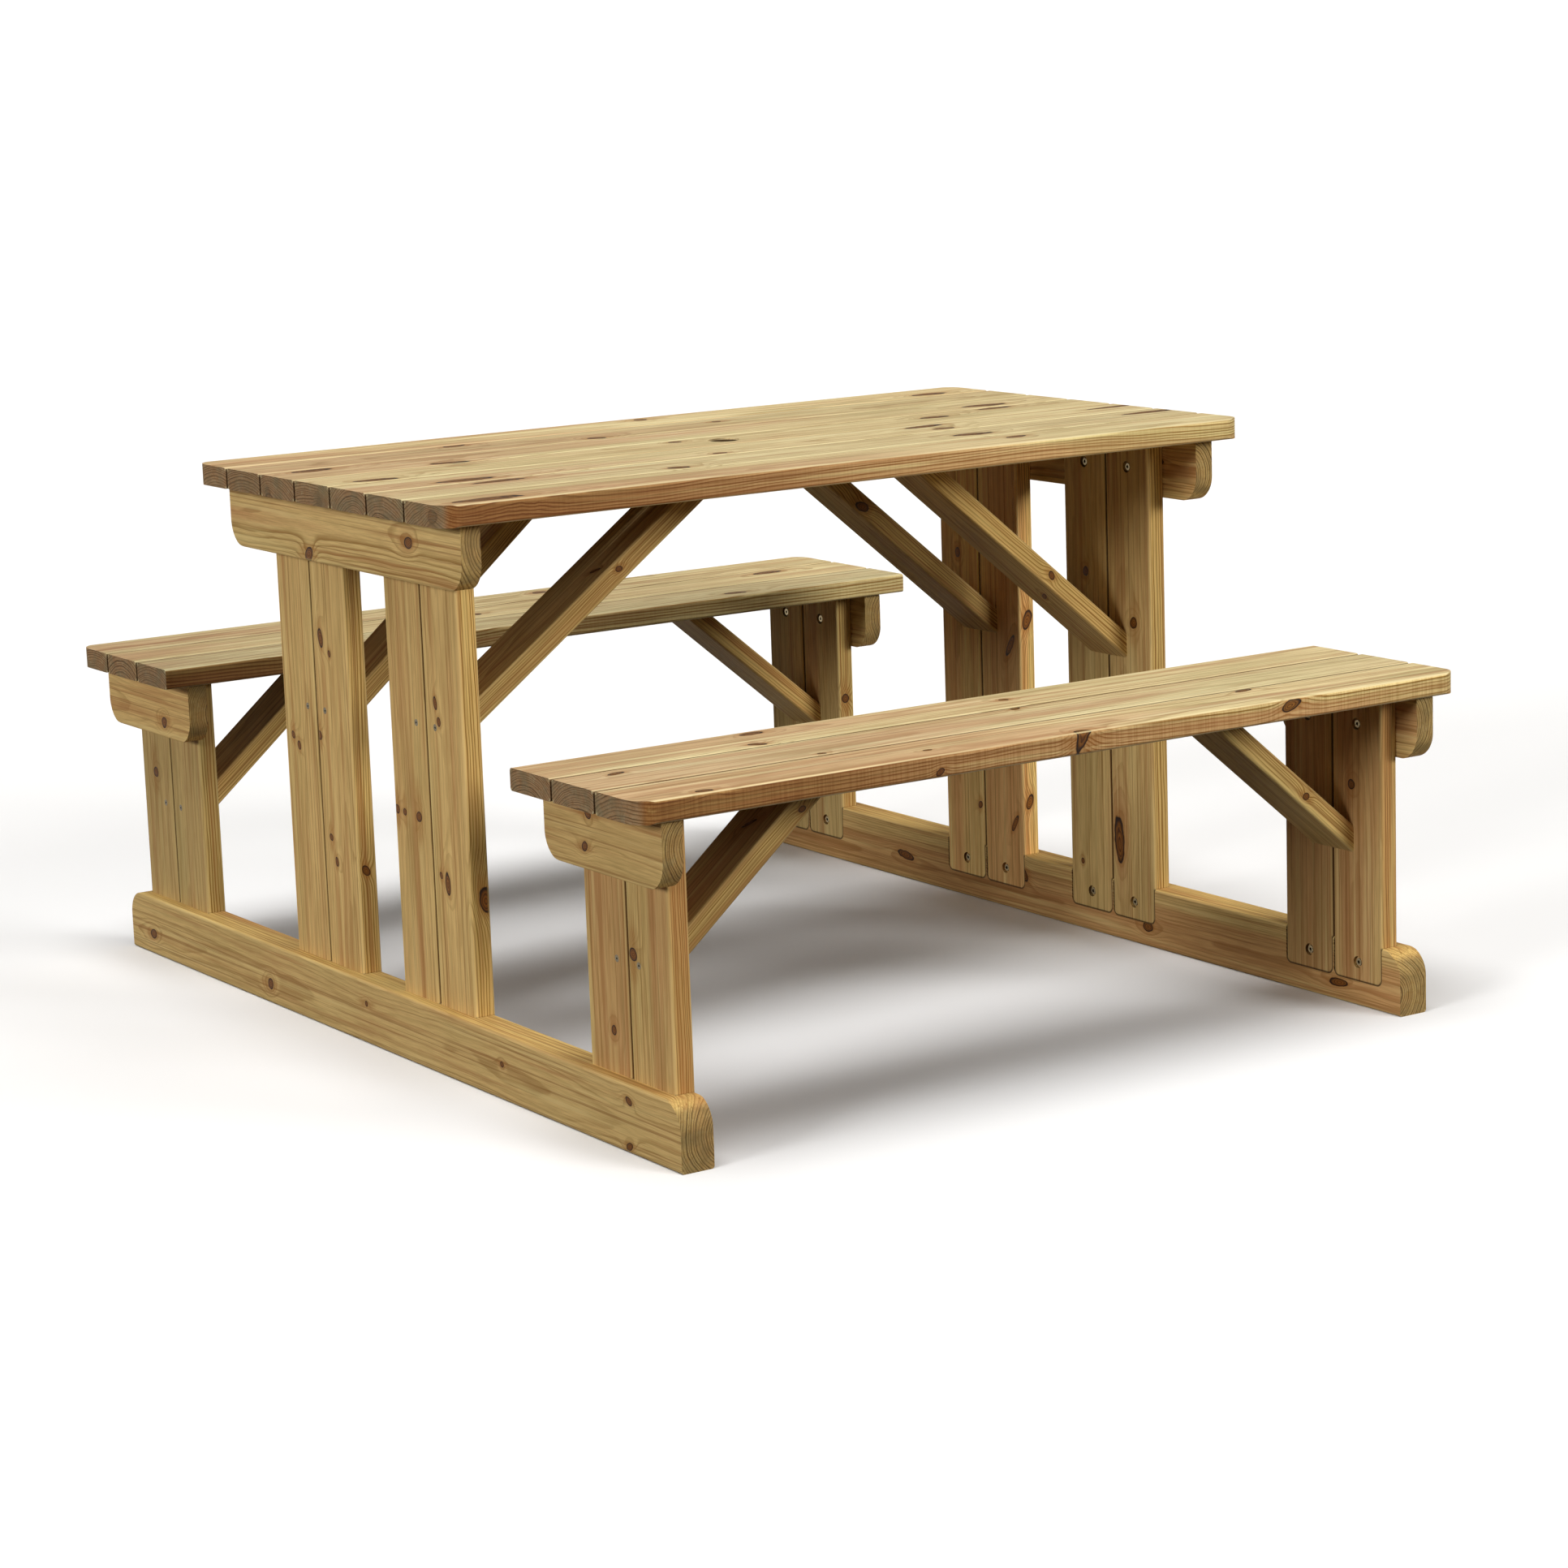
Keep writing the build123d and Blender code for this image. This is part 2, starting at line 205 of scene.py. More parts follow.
def make_knot_group():
    """One knot: a branch from the pith out through the timber, and the grain that bends round it."""
    tree, given, out = new_group(
        "knot",
        {"Place": "v", "Centre": "v", "Branch": "v", "Radius": "f",
         "Push": "f", "Mask": "f", "Core": "f", "Halo": "f"},
        {"Push": "f", "Mask": "f", "Core": "f", "Halo": "f"},
    )
    offset = tree.vector("SUBTRACT", given["Place"], given["Centre"])
    outward = tree.dot(offset, given["Branch"])
    across = tree.vector("SUBTRACT", offset, tree.scaled(given["Branch"], outward))
    taper = tree.smooth(outward, -0.04, 0.04, 0.75, 1.25)
    size = tree.math("MULTIPLY", given["Radius"], taper)
    wobble = tree.noise(given["Place"], scale=70, detail=1)
    wobble = tree.math("MULTIPLY_ADD", wobble, 0.44, -0.22)
    reach = tree.math("DIVIDE", tree.length(across), size)
    reach = tree.math("MAXIMUM", tree.math("ADD", reach, wobble), 0.0)
    mask = tree.smooth(reach, 0.9, 1.04, 1.0, 0.0)
    bulge = tree.math("EXPONENT", tree.math("MULTIPLY", tree.math("POWER", reach, 2.0), -0.22))
    push = tree.math("MULTIPLY", tree.math("MULTIPLY", bulge, size), 1.3)
    streak = tree.math("DIVIDE", tree.length(tree.vector("MULTIPLY", across, (0.2, 1, 1))), size)
    halo = tree.smooth(tree.math("ADD", streak, wobble), 0.7, 1.9, 1.0, 0.0)
    tree.feed(out["Push"], tree.math("ADD", given["Push"], push))
    tree.feed(out["Mask"], tree.math("MAXIMUM", given["Mask"], mask))
    tree.feed(out["Core"], tree.math("MULTIPLY_ADD", mask, reach, given["Core"]))
    tree.feed(out["Halo"], tree.math("MAXIMUM", given["Halo"], halo))
    return tree.tree


def growth_rings(tree, given, seeded):
    """Distances from a pith that wanders along the log, the dark line of each year, and how far it shows."""
    drift = tree.grain_noise(seeded, 1.5, 3.0, detail=1, output="Color")
    drift = tree.scaled(tree.vector("SUBTRACT", drift, (0.5, 0.5, 0.5)), given["Drift"])
    ripple = tree.grain_noise(seeded, 9, 45, output="Color")
    ripple = tree.vector("SUBTRACT", ripple, (0.5, 0.5, 0.5))
    ripple = tree.vector("MULTIPLY", ripple, (0, 4 * MM, 4 * MM))
    wandering = tree.vector("ADD", tree.vector("ADD", given["Place"], drift), ripple)
    from_pith = tree.vector("MULTIPLY", tree.vector("SUBTRACT", wandering, given["Pith"]), (0, 1, 1))
    radius = tree.math("SUBTRACT", tree.length(from_pith), given["Push"])

    years = tree.math("DIVIDE", radius, given["Rings"])
    uneven = tree.noise(tree.join(tree.math("MULTIPLY", years, 0.35), 0.0, 0.0), detail=1)
    years = tree.math("MULTIPLY_ADD", uneven, 2.2, years)
    season = tree.math("FRACT", years)
    summer = tree.math("MULTIPLY", tree.smooth(season, 0.4, 0.9), tree.smooth(season, 0.93, 1.0, 1.0, 0.0))
    year = tree.add("ShaderNodeTexWhiteNoise", noise_dimensions="1D")
    tree.feed(year.inputs["W"], tree.math("FLOOR", years))
    ring = tree.math("MULTIPLY", summer, tree.math("MULTIPLY_ADD", year.outputs["Value"], 0.6, 0.5))
    contrast = tree.smooth(given["Side"], 0.3, 0.9, given["Contrast"], given["SideContrast"])
    return radius, ring, tree.math("MULTIPLY", ring, contrast, clamp=True)


def body_wood(tree, given, seeded, along, radius, late):
    """Pinker heartwood and yellower sapwood, with fibres, long streaks, hairlines and green stains."""
    heart_edge = tree.grain_noise(seeded, 1.6, 22, detail=3)
    border = tree.math("MULTIPLY_ADD", along, given["Slant"], given["Border"])
    heart_edge = tree.math("MULTIPLY_ADD", heart_edge, 0.05, tree.math("SUBTRACT", radius, border))
    heart = tree.smooth(heart_edge, 0.019, 0.033, 1.0, 0.0)
    early_wood = tree.mix(heart, SAPWOOD, HEARTWOOD)
    late_wood = tree.mix(heart, SAPWOOD_RING, HEARTWOOD_RING)
    wood = tree.mix(late, early_wood, late_wood)

    fibre = tree.grain_noise(seeded, 28, 900, rough=0.6)
    streak = tree.grain_noise(seeded, 2.2, 90, detail=3, rough=0.6)
    blotch = tree.grain_noise(seeded, 3.5, 16, detail=3, rough=0.55)
    hairline = tree.grain_noise(seeded, 1.6, 260, rough=0.6)
    wood = tree.mix(tree.smooth(fibre, 0.3, 0.75, 0.0, 0.34), wood, FIBRE)
    wood = tree.mix(tree.smooth(streak, 0.5, 0.68, 0.0, 0.55), wood, DARK_STREAK)
    wood = tree.mix(tree.smooth(streak, 0.46, 0.3, 0.0, 0.5), wood, PALE_STREAK)
    wood = tree.mix(tree.smooth(hairline, 0.54, 0.66, 0.0, 0.55), wood, HAIRLINE)
    green = tree.math("MULTIPLY", tree.smooth(blotch, 0.45, 0.68), given["Green"])
    return tree.mix(green, wood, GREEN_STAIN), fibre


def with_knots(tree, given, wood):
    """The wood with its knots, each ringed by dark bark, and where that bark is."""
    wood = tree.mix(tree.math("MULTIPLY", given["Halo"], 0.45), wood, KNOT_HALO)
    core = tree.math("FRACT", tree.math("MULTIPLY", given["Core"], 3.4))
    knot = tree.mix(tree.smooth(core, 0.3, 0.9), KNOT_WOOD, KNOT_RING)
    bark = tree.smooth(given["Core"], 0.52, 0.92)
    return tree.mix(given["Mask"], wood, tree.mix(bark, knot, KNOT_BARK)), bark


def with_end_grain(tree, given, seeded, wood, ring):
    """The wood with darker end grain, which drinks in the treatment and shows the saw."""
    end = tree.smooth(given["Facing"], 0.55, 0.85)
    saw = tree.noise(tree.vector("MULTIPLY", seeded, (0, 60, 1100)), detail=1)
    damp = tree.grain_noise(seeded, 30, 40, detail=3)
    end_wood = tree.mix(0.66, wood, given["End"])
    end_wood = tree.mix(tree.math("MULTIPLY", ring, 0.85), end_wood, END_RING)
    end_wood = tree.mix(tree.smooth(damp, 0.4, 0.7, 0.0, 0.5), end_wood, END_DAMP)
    end_wood = tree.mix(tree.smooth(saw, 0.45, 0.7, 0.0, 0.3), end_wood, SAW_MARK)
    return tree.mix(end, wood, end_wood), end, saw


def with_narrow_faces(tree, given, seeded, along, wood):
    """The boards' edges run from red to yellow wood, with a planer's faint chatter."""
    chatter = tree.grain_noise(seeded, 420, 6, detail=1)
    chatter = tree.math("MULTIPLY", tree.smooth(chatter, 0.4, 0.65), given["Chatter"])
    edge_tone = tree.mix(tree.smooth(along, -0.55, 0.45), NEAR_EDGE, FAR_EDGE)
    edge_tone = tree.mix(chatter, edge_tone, PLANER_MARK, blend="MULTIPLY")
    wood = tree.mix(given["Edge"], wood, tree.mix(1.0, wood, edge_tone, blend="MULTIPLY"))
    side_wood = tree.mix(1.0, wood, given["SideTone"], blend="MULTIPLY")
    return tree.mix(tree.smooth(given["Side"], 0.55, 0.85), wood, side_wood)


def with_wear_and_painted_light(tree, given, seeded, beyond, wood):
    """Bores and the walls of narrow gaps are darkened as painted shade, and the arrises are rubbed pale with
    a painted highlight.
    """
    beyond_end, beyond_side, beyond_face = tree.split(beyond)
    # sunk marks the walls of bores below the face, which are darkened as painted shade
    sunk = tree.math("MAXIMUM", beyond_side, beyond_face)
    sunk = tree.smooth(sunk, -1.4 * MM, -2.2 * MM)
    sunk = tree.math("MULTIPLY", sunk, tree.smooth(beyond_end, -45 * MM, -55 * MM))
    wood = tree.mix(tree.math("MULTIPLY", sunk, 0.8), wood, PAINTED_BORE_SHADE_AND_JOINT_LINE)
    # the walls of narrow gaps are darkened as painted shade
    wood = tree.mix(tree.math("MULTIPLY", given["Gap"], 0.85), wood, PAINTED_GAP_SHADE)

    # the pale arrises are partly rubbed wear and partly a painted highlight on the rounded edges
    arris_patches = tree.grain_noise(seeded, 6, 90)
    arris = tree.smooth(tree.math("MINIMUM", beyond_side, beyond_face), -5 * MM, -1.6 * MM)
    arris = tree.math("MULTIPLY", arris, tree.smooth(arris_patches, 0.3, 0.6, 0.35, 0.85))
    kept = tree.math("SUBTRACT", 1.0, tree.math("MAXIMUM", given["Gap"], given["Edge"]))
    arris = tree.math("MULTIPLY", tree.math("MULTIPLY", arris, kept), given["Rub"])
    return tree.mix(arris, wood, RUBBED_ARRIS_AND_HIGHLIGHT)


def with_joint_line(tree, given, along, beyond, wood):
    """A dark joint line round a rounded foot that is let into a rail."""
    beyond_end, beyond_side, _ = tree.split(beyond)
    corner = tree.vector("ADD", tree.join(beyond_end, beyond_side, 0.0), (FOOT_CORNER, FOOT_CORNER, 0))
    outline = tree.length(tree.vector("MAXIMUM", corner, (0, 0, 0)))
    outline = tree.smooth(outline, FOOT_CORNER - 3.2 * MM, FOOT_CORNER - 1.6 * MM)
    let_in = tree.smooth(beyond_end, -FOOT_LET_IN - 2 * MM, -FOOT_LET_IN + 2 * MM)
    let_in = tree.math("MULTIPLY", let_in, tree.smooth(along, 0.0, -0.01))
    outline = tree.math("MULTIPLY", outline, tree.math("MULTIPLY", let_in, given["Foot"]))
    return tree.mix(tree.math("MULTIPLY", outline, 0.85), wood, PAINTED_BORE_SHADE_AND_JOINT_LINE)


def make_pine_group():
    """Treated pine as a solid: growth rings, fibres, stains, knots, sawn end grain, worn arrises with a
    painted highlight, and painted shade in bores and gaps.
    """
    tree, given, out = new_group(
        "pine",
        {"Place": "v", "Half": "v", "Facing": "f", "Side": "f", "Edge": "f", "Gap": "f",
         "Pith": "v", "Seed": "v", "Rings": "f", "Drift": "f", "Contrast": "f", "SideContrast": "f",
         "Border": "f", "Slant": "f", "Push": "f", "Mask": "f", "Core": "f", "Halo": "f",
         "Foot": "f", "Green": "f", "Chatter": "f", "Rub": "f", "End": "c", "SideTone": "c", "Tone": "c"},
        {"Color": "c", "Roughness": "f", "Height": "f"},
    )
    seeded = tree.vector("ADD", given["Place"], given["Seed"])
    along = tree.split(given["Place"])[0]
    radius, ring, late = growth_rings(tree, given, seeded)
    wood, fibre = body_wood(tree, given, seeded, along, radius, late)
    wood, bark = with_knots(tree, given, wood)
    wood, end, saw = with_end_grain(tree, given, seeded, wood, ring)
    wood = with_narrow_faces(tree, given, seeded, along, wood)
    beyond = tree.vector("SUBTRACT", tree.vector("ABSOLUTE", given["Place"]), given["Half"])
    wood = with_wear_and_painted_light(tree, given, seeded, beyond, wood)
    wood = with_joint_line(tree, given, along, beyond, wood)
    tree.feed(out["Color"], tree.mix(1.0, wood, given["Tone"], blend="MULTIPLY"))

    gloss = tree.math("MULTIPLY_ADD", late, -0.08, 0.62)
    gloss = tree.math("MULTIPLY_ADD", fibre, 0.12, gloss)
    gloss = tree.math("MULTIPLY_ADD", end, 0.2, gloss)
    tree.feed(out["Roughness"], tree.math("MULTIPLY_ADD", given["Mask"], -0.12, gloss))
    relief = tree.math("MULTIPLY", late, 0.35)
    relief = tree.math("MULTIPLY_ADD", fibre, 0.5, relief)
    relief = tree.math("MULTIPLY_ADD", tree.math("MULTIPLY", saw, end), 1.2, relief)
    relief = tree.math("MULTIPLY_ADD", given["Mask"], 0.4, relief)
    relief = tree.math("MULTIPLY_ADD", tree.math("MULTIPLY", bark, given["Mask"]), -0.9, relief)
    tree.feed(out["Height"], relief)
    return tree.tree


knot_group = make_knot_group()
pine_group = make_pine_group()


# ---------------------------------------------------------------- timbers

def grain_axes(name):
    """The directions along the grain and across the wide face of a timber."""
    if "_board_" in name:
        return X_AXIS, Y_AXIS
    if "_leg_" in name:
        return Z_AXIS, Y_AXIS
    if "_brace_" in name:
        side = 1 if "_left_" in name else -1
        slope = FLAT_BRACE_ANGLE if name == FLAT_BRACE else BRACE_ANGLE
        return Vector((side * math.cos(slope), 0, math.sin(slope))), Y_AXIS
    return Y_AXIS, Z_AXIS


def timber_frame(name):
    """A timber's rotation, centre and half sizes.

    In its own axes x is along the grain, y across the wide face and z through the thickness.
    """
    along, across = grain_axes(name)
    through = along.cross(across)
    turn = Matrix((along, across, through))
    places = [turn @ corner.co for corner in nodes[name].data.vertices]
    low = Vector([min(p[axis] for p in places) for axis in range(3)])
    high = Vector([max(p[axis] for p in places) for axis in range(3)])
    centre = turn.transposed() @ ((low + high) / 2)
    return turn.transposed(), centre, (high - low) / 2


# A knot is (face, mm along the timber, mm across the face, radius in mm, lean along the grain).
# The faces are top and under (through the thickness), near and away (across the width).
KNOTS = {
    "tabletop_board_1": [("top", -560, -22, 12, 0.8), ("top", 280, 13, 8, 0.7)],
    "tabletop_board_2": [("top", -455, 30, 8, 1), ("top", -215, -27, 10, 0.5), ("top", 255, -14, 11, 0.9),
                         ("top", 575, 15, 8, 1)],
    "tabletop_board_3": [("top", -480, -25, 11, 0.6), ("top", -90, -30, 7, 0.7), ("top", 265, 15, 10, 0.9),
                         ("top", 275, -25, 8, 0.5), ("top", 590, 10, 7, 1)],
    "tabletop_board_4": [("top", -555, -30, 10, 0.6), ("top", -60, 30, 8, 0.7), ("top", 350, 5, 10, 0.7),
                         ("top", 475, 35, 8, 0.8)],
    "tabletop_board_5": [("top", -565, 30, 11, 0.5), ("top", -395, -35, 10, 0.7), ("top", 485, -20, 11, 0.7)],
    "tabletop_board_6": [("top", -290, 38, 10, 0.6), ("top", -105, -35, 11, 0.6), ("top", 120, 10, 7, 0.3)],
    "tabletop_board_7": [("top", 60, 20, 10, 0.3), ("top", 530, -23, 11, 0.6)],
    "seat_front_board_1": [("top", -295, 30, 8, 0.5), ("top", -327, -34, 7, 0.3), ("top", 72, 3, 6, 0.4)],
    "seat_front_board_2": [("top", -552, 24, 6, 0.3), ("top", -302, -40, 5, 0.2), ("top", 45, 40, 6, 0.8)],
    "seat_front_board_3": [("top", -530, -36, 7, 0.3), ("top", -198, -12, 4, 0.7), ("top", 10, -45, 11, 0.4),
                           ("near", 337, 5, 7, 0.2), ("near", -205, -7, 4, 0.2), ("top", 330, 38, 6, 0.8)],
    "seat_rear_board_1": [("top", -250, 10, 10, 0.3), ("top", 330, -20, 8, 0.7)],
    "seat_rear_board_2": [("top", 480, 25, 10, 0.4), ("top", -60, -15, 8, 0.3)],
    "seat_rear_board_3": [("top", 120, 10, 10, 0.5), ("away", 300, 0, 9, 0.5)],
    "table_leg_left_rear_a": [("top", 150, 25, 7, 1), ("top", 132, 2, 4, 0.5), ("top", 18, 42, 6, 0.4),
                              ("top", -118, 25, 5, 0.2), ("top", -150, 12, 5, 0.6),
                              ("near", -154, 2, 5, 0.2)],
    "table_leg_left_rear_b": [("top", 8, 24, 5, 0.5), ("top", -4, 8, 5, 0.7)],
    "table_leg_left_front_a": [("top", 103, 20, 5, 1), ("top", 80, 13, 5, 0.6), ("top", -120, 27, 4, 0.4),
                               ("top", -130, 10, 7, 1.1), ("near", -144, -8, 9, 0.5)],
    "table_leg_left_front_b": [("top", -50, 40, 6, 0.2), ("top", -51, 20, 5, 0.2), ("top", -52, -18, 7, 0.1)],
    "seat_leg_left_rear_b": [("top", 42, 4, 8, 0.2)],
    "seat_leg_left_front_a": [("top", 12, 35, 8, 0.2)],
    "seat_leg_left_front_b": [("top", -90, -10, 6, 0.4)],
    "seat_bearer_left_front": [("under", 30, 28, 7, 0.3), ("under", 40, -14, 6, 0.5)],
    "seat_bearer_left_rear": [("under", -50, -20, 8, 0.4)],
    "table_bearer_left": [("under", 92, -33, 9, 0.4), ("under", -185, 8, 8, 0.3)],
    "table_bearer_right": [("top", 120, 5, 9, 0.5), ("under", -230, 12, 7, 0.4)],
    "ground_rail_left": [("under", 687, -12, 7, 0.1), ("under", 307, -15, 8, 0.1), ("under", 21, 12, 4, 0.1),
                         ("under", -340, 4, 4, 0.1), ("under", -646, 22, 5, 0.1),
                         ("under", -644, -34, 5, 0.1)],
    "ground_rail_right": [("top", 500, 10, 9, 0.4), ("top", -180, -16, 10, 0.4), ("under", -640, -18, 6, 0.1),
                          ("under", 60, 14, 8, 0.4)],
    "table_leg_right_front_a": [("top", 84, -10, 8, 0.2), ("top", -240, 30, 11, 1.2)],
    "table_leg_right_front_b": [("top", 146, 0, 6, 0.4), ("top", -277, 20, 4, 0.2),
                                ("top", -60, -30, 6, 0.3)],
    "table_leg_right_rear_a": [("near", 55, 0, 8, 0.7), ("near", -215, 2, 6, 0.2)],
    "table_leg_right_rear_b": [("top", -232, -38, 5, 0.3), ("top", 143, 4, 6, 0.5)],
    "seat_leg_right_front_a": [("top", 70, 10, 7, 0.2)],
    "seat_leg_right_rear_a": [("near", 30, 2, 7, 0.3)],
    "table_brace_left_front": [("near", 60, 3, 4, 0.4)],
    "table_brace_right_front": [("near", -60, -3, 5, 0.5)],
    "table_brace_right_rear": [("near", 70, 3, 7, 0.7)],
    "seat_brace_right_front": [("near", -50, 0, 5, 0.4)],
    "seat_brace_left_front": [("near", 100, -3, 4, 0.4)],
}

# What the timbers of one kind share: how strongly the rings show on the wide and on the narrow faces, the
# least and greatest width of a ring and distance to the pith in mm, how far the pith wanders in metres,
# how much less heartwood there is in metres, and how far the arrises are rubbed pale with a painted
# highlight.
Grade = namedtuple("Grade", "contrast side_contrast ring_widths pith_depths drift less_heart rub")
GRADES = {
    "board": Grade(0.6, 1.7, (3.2, 4.4), (60, 110), 0.03, 0, 0.7),
    "leg": Grade(0.4, 1.5, (3.0, 3.8), (60, 110), 0.03, -0.004, 0.7),
    "brace": Grade(0.6, 1.2, (3.0, 3.8), (60, 110), 0.03, 0.035, 0.4),
    "table_bearer": Grade(0.85, 1.0, (3.8, 4.8), (35, 50), 0.035, 0, 0.4),
    "seat_bearer": Grade(0.42, 1.0, (2.8, 3.4), (35, 50), 0.035, 0, 0.4),
    "rail": Grade(0.5, 0.6, (3.2, 4.0), (35, 50), 0.035, 0, 0.4),
}

# timbers that are plainly lighter or darker than their neighbours, and some painted light and shade: the rear
# right table uprights and the right rail are lightened as painted light on their shaded inner faces, and the
# rear left bench uprights and the left front braces are darkened as painted shade
TIMBER_AND_PAINTED_LIGHTNESS = {
    "table_leg_left_front_a": 1.08, "seat_leg_left_rear_a": 0.8, "seat_leg_left_rear_b": 0.84,
    "table_leg_right_rear_a": 1.5, "table_leg_right_rear_b": 1.5, "seat_rear_board_1": 0.9,
    "ground_rail_right": 1.12, "seat_brace_left_front": 0.8, "table_brace_left_front": 0.9,
}
PALE_STOCK = 1.08


def timber_and_painted_lightness(name):
    """How much lighter a timber is than most, for some timbers as painted light and shade. The bearers and
    the front bench are of paler stock.
    """
    pale = "_bearer_" in name or name.startswith("seat_front")
    return TIMBER_AND_PAINTED_LIGHTNESS.get(name, 1) * (PALE_STOCK if pale else 1)


def gap_sides(name):
    """Whether a timber's low and high faces, across its width, look onto a narrow gap."""
    number = name.rsplit("_", 1)[1]
    if "_leg_" in name:
        return number == "b", number == "a"
    if name.startswith("tabletop_board"):
        return int(number) > 1, int(number) < 7
    if name.startswith("seat_front_board"):
        return int(number) < 3, int(number) > 1
    if name.startswith("seat_rear_board"):
        return int(number) > 1, int(number) < 3
    return False, False


def knot_place(face, along, across, half):
    """Where a knot's middle is on the timber's surface."""
    if face in ("top", "under"):
        return Vector((along * MM, across * MM, half.z if face == "top" else -half.z))
    return Vector((along * MM, half.y if face == "away" else -half.y, across * MM))


def side_masks(tree, name, is_board, sideways):
    """Where a timber's surface is the wall of a narrow gap, and where it is a board's open edge."""
    gap, edge = 0.0, 0.0
    wall_from, wall_to = (0.4, 0.85) if is_board else (0.5, 0.88)
    for hidden, direction in zip(gap_sides(name), (-1, 1)):
        turned = tree.math("MULTIPLY", sideways, direction)
        if hidden:
            gap = tree.math("ADD", tree.smooth(turned, wall_from, wall_to), gap)
        elif is_board:
            edge = tree.math("ADD", tree.smooth(turned, 0.55, 0.85), edge)
    return gap, edge


def knot_chain(tree, name, place, half, pith):
    """The knots of one timber, each handed on to the next: what the last one gives, by socket name."""
    chain = {"Push": 0.0, "Mask": 0.0, "Core": 0.0, "Halo": 0.0}
    for face, along_mm, across_mm, radius, lean in KNOTS.get(name, ()):
        middle = knot_place(face, along_mm, across_mm, half)
        branch = middle - pith
        if face in ("near", "away"):
            branch.z *= 0.2
        branch.x = lean * branch.length
        knot = tree.add("ShaderNodeGroup", node_tree=knot_group)
        given = {"Place": place, "Centre": middle, "Branch": branch.normalized(), "Radius": radius * MM}
        for label, value in {**given, **chain}.items():
            tree.feed(knot.inputs[label], value)
        chain = {label: knot.outputs[label] for label in chain}
    return chain


def pine_material(name, chance):
    """The material of one timber: its own log, its own knots."""
    kind = next(kind for kind in GRADES if kind in name)
    grade = GRADES[kind]
    is_board = kind == "board"
    turn, centre, half = timber_frame(name)
    along, across = grain_axes(name)
    material = bpy.data.materials.new("pine_" + name)
    material.use_nodes = True
    tree = Tree(material.node_tree)
    shader = material.node_tree.nodes["Principled BSDF"]
    where = tree.add("ShaderNodeTexCoord")
    local = tree.add("ShaderNodeMapping", vector_type="TEXTURE")
    local.inputs["Location"].default_value = centre
    local.inputs["Rotation"].default_value = turn.to_euler("XYZ")
    tree.feed(local.inputs["Vector"], where.outputs["Object"])
    place = local.outputs[0]
    sideways = tree.dot(where.outputs["Normal"], across)
    gap, edge = side_masks(tree, name, is_board, sideways)

    depth = chance.uniform(*grade.pith_depths) * MM
    faces = [knot[0] for knot in KNOTS.get(name, ())]
    behind = -1 if "top" in faces else 1 if "under" in faces else chance.choice((-1, 1))
    pith = Vector((0, chance.uniform(-0.5, 0.5) * half.y, behind * depth))
    log = {
        "Place": place, "Half": half, "Pith": pith, "Edge": edge, "Gap": gap,
        "Facing": tree.math("ABSOLUTE", tree.dot(where.outputs["Normal"], along)),
        "Side": tree.math("ABSOLUTE", sideways),
        "Drift": grade.drift, "Contrast": grade.contrast, "SideContrast": grade.side_contrast,
        "Seed": [chance.uniform(-20, 20) for axis in range(3)],
        "Rings": chance.uniform(*grade.ring_widths) * MM,
        "Border": depth + chance.uniform(-0.012, 0.02) - grade.less_heart,
        "Slant": -0.03 if is_board else 0.0,
        "Chatter": 0.5 if name.startswith("seat_front") else 0.2,
        "Green": chance.uniform(0.05, 0.25),
        "Rub": grade.rub,
        "Foot": 1.0 if kind == "leg" else 0.0,
        "End": BOARD_END if is_board else FRAME_END,
        "SideTone": BOARD_SIDE_TONE if is_board else FRAME_SIDE_TONE,
    }
    red, green, blue = BOARD_TONE if is_board else FRAME_TONE
    # the tone holds painted light and shade for some timbers
    tone = chance.uniform(0.93, 1.05) * timber_and_painted_lightness(name)
    warmth = chance.uniform(-0.02, 0.02)
    log["Tone"] = (red * tone * (1 + warmth), green * tone, blue * tone * (1 - warmth), 1)

    pine = tree.add("ShaderNodeGroup", node_tree=pine_group)
    for label, value in {**log, **knot_chain(tree, name, place, half, pith)}.items():
        tree.feed(pine.inputs[label], value)
    tree.feed(shader.inputs["Base Color"], pine.outputs["Color"])
    tree.feed(shader.inputs["Roughness"], pine.outputs["Roughness"])
    tree.feed(shader.inputs["Normal"], tree.bump(pine.outputs["Height"], strength=0.5, distance=0.4 * MM))
    shader.inputs["Specular IOR Level"].default_value = 0.14
    return material


def screw_material(name, dull, bright):
    """Zinc plate: slightly mottled, with a little dirt, and painted shade with grime in the recess and round
    the head.
    """
    material = bpy.data.materials.new(name)
    material.use_nodes = True
    tree = Tree(material.node_tree)
    shader = material.node_tree.nodes["Principled BSDF"]
    where = tree.add("ShaderNodeTexCoord").outputs["Object"]
    mottle = tree.noise(where, scale=900, detail=3)
    dirt = tree.noise(where, scale=260, detail=3)
    metal = tree.mix(mottle, dull, bright)
    metal = tree.mix(tree.smooth(dirt, 0.5, 0.75, 0.0, 0.6), metal, DIRTY_ZINC)
    # ambient occlusion darkens the recess and round the head: painted shade, with grime
    corner = tree.add("ShaderNodeAmbientOcclusion", samples=8)
    corner.inputs["Distance"].default_value = SHADE_AND_GRIME_REACH
    metal = tree.mix(tree.smooth(corner.outputs["AO"], 0.5, 0.97, 1.0, 0.0), metal, SHADE_AND_GRIME)
    tree.feed(shader.inputs["Base Color"], metal)
    tree.feed(shader.inputs["Roughness"], tree.math("MULTIPLY_ADD", dirt, 0.4, 0.22))
    tree.feed(shader.inputs["Normal"], tree.bump(mottle, strength=0.2, distance=0.1 * MM))
    shader.inputs["Metallic"].default_value = 1.0
    return material


def paint(thing, material):
    """Gives an object one material in place of those it came with."""
    thing.data.materials.clear()
    thing.data.materials.append(material)


